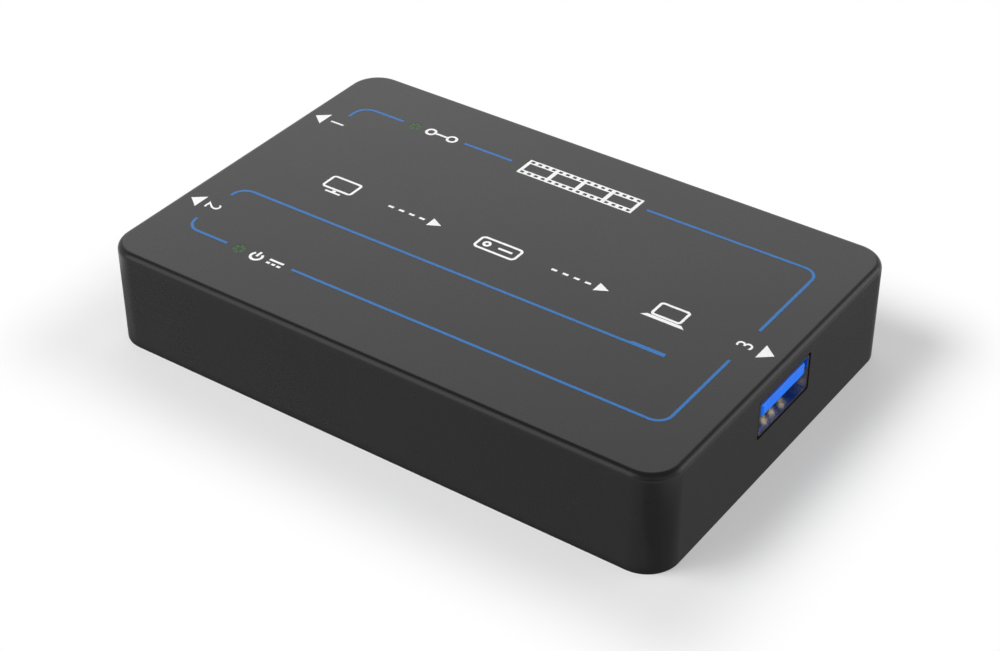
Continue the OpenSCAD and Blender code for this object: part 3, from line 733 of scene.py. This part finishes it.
def ink_line(start, heading, moves, width):
    """A flat line drawn by an edge across it: each move is a straight run and then a turn on a radius."""
    bm = bmesh.new()
    at = Vector((*start, PRINT_Z))
    ahead = Vector((math.cos(math.radians(heading)), math.sin(math.radians(heading)), 0))
    left = Vector((-ahead.y, ahead.x, 0))
    tip = [bm.verts.new(at + left * width / 2), bm.verts.new(at - left * width / 2)]
    front = [bm.edges.new(tip)]
    for run, radius, turn in moves:
        if run:
            made = bmesh.ops.extrude_edge_only(bm, edges=front)["geom"]
            tip = [g for g in made if isinstance(g, bmesh.types.BMVert)]
            edges = [g for g in made if isinstance(g, bmesh.types.BMEdge)]
            front = [e for e in edges if all(v in tip for v in e.verts)]
            bmesh.ops.translate(bm, verts=tip, vec=ahead * run)
            at += ahead * run
        if turn:
            centre = at + left * math.copysign(radius, turn)
            swung = bmesh.ops.spin(bm, geom=tip + front, cent=centre, axis=(0, 0, 1),
                                   angle=math.radians(turn), steps=round(abs(turn) / ARC_STEP),
                                   use_merge=False)["geom_last"]
            tip = [g for g in swung if isinstance(g, bmesh.types.BMVert)]
            front = [g for g in swung if isinstance(g, bmesh.types.BMEdge)]
            rotation = Matrix.Rotation(math.radians(turn), 3, "Z")
            at = centre + rotation @ (at - centre)
            ahead = rotation @ ahead
            left = rotation @ left
    return bm


def thickened(bm):
    """Gives a flat print its thickness, downwards from its face."""
    bmesh.ops.remove_doubles(bm, verts=bm.verts, dist=NEAR)
    for face in bm.faces:
        if face.normal.z < 0:
            face.normal_flip()
    bm.normal_update()
    rim = bmesh.ops.extrude_face_region(bm, geom=list(bm.faces), use_keep_orig=True)["geom"]
    lowered = [g for g in rim if isinstance(g, bmesh.types.BMVert)]
    bmesh.ops.translate(bm, verts=lowered, vec=(0, 0, -INK_T))
    bmesh.ops.recalc_face_normals(bm, faces=bm.faces)
    return bm


def mm_line(start, heading, moves, width=MARK_W):
    """A printed line, with its width alone in metres."""
    scaled = [(run * MM, radius * MM, turn) for run, radius, turn in moves]
    return thickened(ink_line((start[0] * MM, start[1] * MM), heading, scaled, width))


def mm_frame(centre, length, height, radius):
    """A closed frame with rounded corners."""
    run = length - 2 * radius
    rise = height - 2 * radius
    moves = [
        (run / 2, radius, 90), (rise, radius, 90), (run, radius, 90), (rise, radius, 90), (run / 2, 0, 0),
    ]
    return mm_line((centre[0], centre[1] - height / 2), 0, moves)


def mm_ring(centre, radius, gap=0):
    """A ring, open at its top where a gap in degrees is given."""
    first = 90 + gap / 2
    turn = math.radians(first)
    start = (centre[0] + radius * math.cos(turn), centre[1] + radius * math.sin(turn))
    return mm_line(start, first + 90, [(0, radius, 360 - gap)])


def mm_patch(outline):
    """A filled shape."""
    bm = bmesh.new()
    bm.faces.new([bm.verts.new((x * MM, y * MM, PRINT_Z)) for x, y in outline])
    return thickened(bm)


def mm_bar(centre, length, height):
    """A filled rectangle."""
    left, right = centre[0] - length / 2, centre[0] + length / 2
    low, high = centre[1] - height / 2, centre[1] + height / 2
    return mm_patch([(left, low), (right, low), (right, high), (left, high)])


def mm_arrow(tip, way, length, width):
    """A filled triangle that points along x."""
    base = tip[0] - way * length
    return mm_patch([tip, (base, tip[1] + width / 2), (base, tip[1] - width / 2)])


def mm_hole(centre, length, height):
    """A cutting block for an opening in a print."""
    low = ((centre[0] - length / 2) * MM, (centre[1] - height / 2) * MM, PRINT_Z - INK_T - LAP)
    high = ((centre[0] + length / 2) * MM, (centre[1] + height / 2) * MM, PRINT_Z + LAP)
    return block(low, high)


def mm_digit(digit, centre, turn, height):
    """A plain digit, turned about its middle."""
    curve = bpy.data.curves.new("digit", "FONT")
    curve.body = digit
    text = bpy.data.objects.new("digit", curve)
    mesh = bpy.data.meshes.new_from_object(text)
    bm = bmesh.new()
    bm.from_mesh(mesh)
    xs = [v.co.x for v in bm.verts]
    ys = [v.co.y for v in bm.verts]
    middle = Vector(((min(xs) + max(xs)) / 2, (min(ys) + max(ys)) / 2, 0))
    place = Matrix.Translation((centre[0] * MM, centre[1] * MM, PRINT_Z))
    facing = Matrix.Rotation(math.radians(turn), 4, "Z")
    size = Matrix.Scale(height * MM / (max(ys) - min(ys)), 4)
    bmesh.ops.transform(bm, matrix=place @ facing @ size @ Matrix.Translation(-middle), verts=bm.verts)
    bpy.data.objects.remove(text)
    bpy.data.curves.remove(curve)
    bpy.data.meshes.remove(mesh)
    return thickened(bm)


# Blue lines, in millimetres and degrees: start, heading, and moves of run, radius and turn
GUIDE_LINES = {
    "guide_line_in": ((-38.85, 16.7), 90, [(1.1, 2.3, -90), (5.4, 0, 0)]),
    "guide_line_link": ((-20.0, 20.1), 0, [(8.5, 0, 0)]),
    "guide_line_data_back": ((11.55, 20.1), 0, [(25.1, 2.1, -90), (14.1, 0, 0)]),
    "guide_line_data_front": ((38.75, -3.8), -90, [(13.95, 2.1, -90), (56.5, 0, 0)]),
    "guide_line_out": ((-31.25, -19.9), 180, [(5.4, 2.2, -90), (0.3, 0, 0)]),
    "guide_line_power": ((-38.85, -10.3), 90, [(0.35, 2.1, -90), (62.75, 0, 0)]),
}
for name, (start, heading, moves) in GUIDE_LINES.items():
    piece(mm_line(start, heading, moves, LINE_W), name, "print_blue")

# The end of the middle line is bolder
BOLD_END = [(26.0, -8.07), (31.55, -8.07), (31.55, -7.36), (26.6, -7.36), (26.0, -7.63)]
piece(mm_patch(BOLD_END), "guide_line_power_end", "print_blue")

# White triangles that point at the sockets: tip, way along x, length and width
SOCKET_ARROWS = {
    "arrow_in": ((-43.1, 14.0), -1, 1.9, 3.0),
    "arrow_out": ((-43.1, -13.9), -1, 1.9, 2.9),
    "arrow_data": ((43.05, 0.1), 1, 1.95, 3.1),
}
for name, shape in SOCKET_ARROWS.items():
    piece(mm_arrow(*shape), name, "print_white")

# Plain numbers beside them: digit, middle, turn in degrees and height
SOCKET_DIGITS = {
    "digit_in": ("1", (-39.0, 14.0), -90, 2.3),
    "digit_out": ("2", (-39.0, -13.9), -90, 2.3),
    "digit_data": ("3", (38.75, 0.1), 90, 2.3),
}
for name, shape in SOCKET_DIGITS.items():
    piece(mm_digit(*shape), name, "print_white")


# Simple signs in millimetres, each drawn about the place it is given


def link_sign(x, y):
    """Two rings joined by a bar."""
    ring_r = 0.72
    apart = 1.9
    bar_gap = 0.25
    reach = apart - ring_r - bar_gap
    return joined([
        mm_ring((x - apart, y), ring_r), mm_ring((x + apart, y), ring_r),
        mm_line((x - reach, y), 0, [(2 * reach, 0, 0)]),
    ])


def power_sign(x, y):
    """A ring with a bar in its gap, and beside it the sign for direct current."""
    ring_r = 0.85
    ring_gap = 84
    bar_l = 1.15
    ring_at = (x - 1.75, y - 0.1)
    line_l = 2.4
    dash_l = 0.6
    dashes = 3
    dash_pitch = (line_l - dash_l) / (dashes - 1)
    left = x + 0.25
    rise = 0.4
    parts = [
        mm_ring(ring_at, ring_r, ring_gap), mm_line(ring_at, 90, [(bar_l, 0, 0)]),
        mm_line((left, y + rise), 0, [(line_l, 0, 0)]),
    ]
    for i in range(dashes):
        parts.append(mm_line((left + i * dash_pitch, y - rise), 0, [(dash_l, 0, 0)]))
    return joined(parts)


def screen_sign(x, y):
    """A screen on its stand."""
    screen = {"length": 4.9, "height": 2.9, "radius": 0.45}
    neck = {"length": 0.6, "height": 0.35}
    foot = {"length": 2.6, "height": 0.35}
    screen_y = y + 0.45
    neck_y = y - 1.475
    foot_y = y - 1.825
    stand = [mm_bar((x, neck_y), **neck), mm_bar((x, foot_y), **foot)]
    return joined([mm_frame((x, screen_y), **screen)] + stand)


def box_sign(x, y):
    """A flat box with a lamp on it."""
    box = {"length": 6.6, "height": 2.6, "radius": 0.6}
    lamp_r = 0.45
    lamp_x = x - 1.9
    slot = {"length": 2.3, "height": 0.4}
    slot_x = x + 1.15
    return joined([mm_frame((x, y), **box), mm_ring((lamp_x, y), lamp_r), mm_bar((slot_x, y), **slot)])


def laptop_sign(x, y):
    """An open laptop."""
    screen = {"length": 4.3, "height": 2.8, "radius": 0.4}
    screen_y = y + 0.4
    back, front = 2.6, 3.3
    back_y, front_y = y - 1.3, y - 1.9
    keys = [(x - back, back_y), (x + back, back_y), (x + front, front_y), (x - front, front_y)]
    return joined([mm_frame((x, screen_y), **screen), mm_patch(keys)])


def long_arrow(x, y):
    """A row of dashes that ends in an arrow head."""
    dash = {"length": 0.9, "height": 0.4}
    dashes = 4
    dash_pitch = 1.8
    first = x - 4.4
    head = {"way": 1, "length": 1.9, "width": 2.0}
    tip = x + 4.3
    row = [mm_bar((first + i * dash_pitch, y), **dash) for i in range(dashes)]
    return joined(row + [mm_arrow((tip, y), **head)])


def film_sign(x, y):
    """A strip of film with four frames and holes along both edges."""
    strip = {"length": 19.4, "height": 3.9}
    picture = {"length": 4.1, "height": 1.9}
    pictures = 4
    picture_pitch = 4.75
    hole = {"length": 0.6, "height": 0.48}
    holes = 16
    hole_pitch = 1.2
    hole_rise = 1.45
    cutters = []
    for i in range(pictures):
        cutters.append(mm_hole((x + (i - (pictures - 1) / 2) * picture_pitch, y), **picture))
    for i in range(holes):
        for rise in (-hole_rise, hole_rise):
            cutters.append(mm_hole((x + (i - (holes - 1) / 2) * hole_pitch, y + rise), **hole))
    return cut(mm_bar((x, y), **strip), [joined(cutters)])


SIGNS = {
    "sign_link": (link_sign, (-24.1, 20.0)),
    "sign_power": (power_sign, (-24.1, -20.0)),
    "sign_film": (film_sign, (0.35, 20.0)),
    "sign_screen": (screen_sign, (-27.5, 0.3)),
    "sign_box": (box_sign, (0, 0.3)),
    "sign_laptop": (laptop_sign, (27.3, 0.3)),
    "sign_arrow_in": (long_arrow, (-14.0, 0.3)),
    "sign_arrow_out": (long_arrow, (13.6, 0.3)),
}
for name, (draw, at) in SIGNS.items():
    piece(draw(*at), name, "print_white")

# Camera, as the photograph was taken: its lens and sensor are in millimetres

CAMERA_AT = Vector((141.2, -200.08, 179.22)) * MM
CAMERA_SIDE = CAMERA_AT.xy.normalized().to_3d()
CAMERA_TURN = Euler([math.radians(a) for a in (54.21, 0.1, 35.053)])
LENS = 77.67
SENSOR_W = 36
NEAREST = 10 * MM

camera = bpy.data.objects.new("camera", bpy.data.cameras.new("camera"))
camera.data.sensor_width = SENSOR_W
camera.data.lens = LENS
camera.data.clip_start = NEAREST
camera.location = CAMERA_AT
camera.rotation_euler = CAMERA_TURN
scene.collection.objects.link(camera)
scene.camera = camera

# Studio: a pale floor, a white surround with a dim ceiling, and soft lamps

BLACK = (0, 0, 0, 1)
WHITE = (1, 1, 1, 1)

# Floor: half its side, its paper, how white it shows round the box, and the painted shade that gloss
# mirrors round the box, darker beside its ends than in front of it
FLOOR_HALF = 3
FLOOR_PAPER = (0.8, 0.8, 0.8, 1)
SEEN_WHITE = 0.36
SEEN_SKIRT = Vector((3, 3, 0)) * MM
SEEN_REACH = 16 * MM
MIRRORED_SHADE_BESIDE = 0.28
MIRRORED_SHADE_IN_FRONT = 0.58
MIRRORED_SHADE_SKIRT = Vector((13, 20, 0)) * MM
MIRRORED_SHADE_REACH = 6 * MM
SIDE_BLEND = 1 * MM

# Surround: where it grows dim, upwards and towards the camera, how dim, and its fill of soft light
CEILING_FROM, CEILING_FULL = 0.55, 0.85
BEHIND_FROM, BEHIND_FULL = 0.80, 0.92
DIMMED = 0.9
FILL = 0.28

# Lamps: place, size, radiance, and whether a gloss mirrors them
LAMPS = {
    "back_left_lamp": ((-0.62, 0.8, 0.69), (1.1, 0.7), 1.45, True),
    "front_left_lamp": ((-0.45, -0.65, 0.48), (0.6, 0.86), 2.2, True),
    "right_lamp": ((0.6, 0.6, 0.28), (0.6, 0.5), 2.0, True),
    "key_lamp": ((-0.46, -0.39, 0.75), (0.4, 0.4), 8.5, False),
    "low_fill_lamp": ((0.9, 0.05, 0.07), (0.8, 0.12), 12.5, False),
}


def straight_rays(tree):
    """1 for the rays from the camera."""
    return tree.make("LightPath", out="Is Camera Ray")


def mirrored_rays(tree):
    """1 for the rays that a gloss mirrors or that glass lets through."""
    glossy_ray = tree.make("LightPath", out="Is Glossy Ray")
    return glossy_ray.at_least(tree.make("LightPath", out="Is Transmission Ray"))


def white_share(tree, at, least, skirt, reach):
    """How much of the floor shows plain white: least on a skirt round the box, and all past a reach."""
    aside = tree.make("VectorMath", {"operation": "ABSOLUTE"}, {0: at})
    aside = tree.make("VectorMath", {"operation": "SUBTRACT"}, {0: aside, 1: CASE_HIGH + skirt})
    aside = tree.make("VectorMath", {"operation": "MAXIMUM"}, {0: aside, 1: (0, 0, 0)})
    away = tree.make("VectorMath", {"operation": "LENGTH"}, {0: aside}, out="Value")
    return least + (1 - least) * away.rising(0, reach)


def pale_floor():
    """Paper that the lamps light, mixed with plain white for the camera. Gloss sees plain white far off
    and a painted shade close round the box, darker beside its ends than in front.
    """
    bm = bmesh.new()
    bmesh.ops.create_grid(bm, x_segments=1, y_segments=1, size=FLOOR_HALF)
    floor = as_object(bm, "floor")
    material, tree = new_material("pale_floor")
    at = tree.make("TexCoord", out="Object")
    along = tree.make("SeparateXYZ", None, {"Vector": at}, out="X")
    across = tree.make("SeparateXYZ", None, {"Vector": at}, out="Y")
    past_end = along.rising(CASE_HIGH.x, CASE_HIGH.x + SIDE_BLEND)
    in_front = (0 - across).rising(CASE_HIGH.y, CASE_HIGH.y + SIDE_BLEND) * (1 - past_end)
    # Painted shade for gloss: round the box the floor is mirrored darker, more so beside its ends than in
    # front, whatever light falls there
    mirrored_shade = MIRRORED_SHADE_BESIDE + (MIRRORED_SHADE_IN_FRONT - MIRRORED_SHADE_BESIDE) * in_front
    seen = white_share(tree, at, SEEN_WHITE, SEEN_SKIRT, SEEN_REACH)
    mirrored = white_share(tree, at, mirrored_shade, MIRRORED_SHADE_SKIRT, MIRRORED_SHADE_REACH)
    straight = straight_rays(tree)
    by_mirror = mirrored_rays(tree)
    white = straight * seen + by_mirror
    paper = tree.make("BsdfDiffuse", None, {"Color": FLOOR_PAPER})
    # For gloss the glow's level is the painted shade, not the lit paper
    glow_colour = blended(tree, straight + by_mirror * mirrored, BLACK, WHITE)
    glow = tree.make("Emission", None, {"Color": glow_colour})
    mixed = tree.make("MixShader", None, {0: white, 1: paper, 2: glow})
    tree.make("OutputMaterial", None, {"Surface": mixed})
    floor.data.materials.append(material)


def white_surround():
    """White for the camera and for gloss, but dim overhead and behind the camera."""
    world = bpy.data.worlds.new("studio")
    world.use_nodes = True
    world.node_tree.nodes.clear()
    scene.world = world
    tree = Shade(world.node_tree)
    at = tree.make("TexCoord", out="Generated")
    up = tree.make("SeparateXYZ", None, {"Vector": at}, out="Z")
    ceiling = up.rising(CEILING_FROM, CEILING_FULL)
    toward = tree.make("VectorMath", {"operation": "DOT_PRODUCT"}, {0: at, 1: CAMERA_SIDE}, out="Value")
    behind_camera = toward.rising(BEHIND_FROM, BEHIND_FULL)
    shown = 1 - DIMMED * ceiling.at_least(behind_camera)
    direct = straight_rays(tree).at_least(mirrored_rays(tree))
    level = direct * shown + (1 - direct) * FILL
    tree.make("OutputWorld", None, {"Surface": tree.make("Background", None, {"Strength": level})})


def soft_lamp(name, at, size, radiance, mirrored):
    """A flat lamp that faces the box."""
    lamp = bpy.data.lights.new(name, "AREA")
    lamp.shape = "RECTANGLE"
    lamp.size, lamp.size_y = size
    lamp.energy = radiance * math.pi * lamp.size * lamp.size_y
    obj = bpy.data.objects.new(name, lamp)
    obj.location = at
    obj.rotation_euler = (-Vector(at)).to_track_quat("-Z", "Y").to_euler()
    obj.visible_glossy = mirrored
    scene.collection.objects.link(obj)


pale_floor()
white_surround()
for name, lamp in LAMPS.items():
    soft_lamp(name, *lamp)
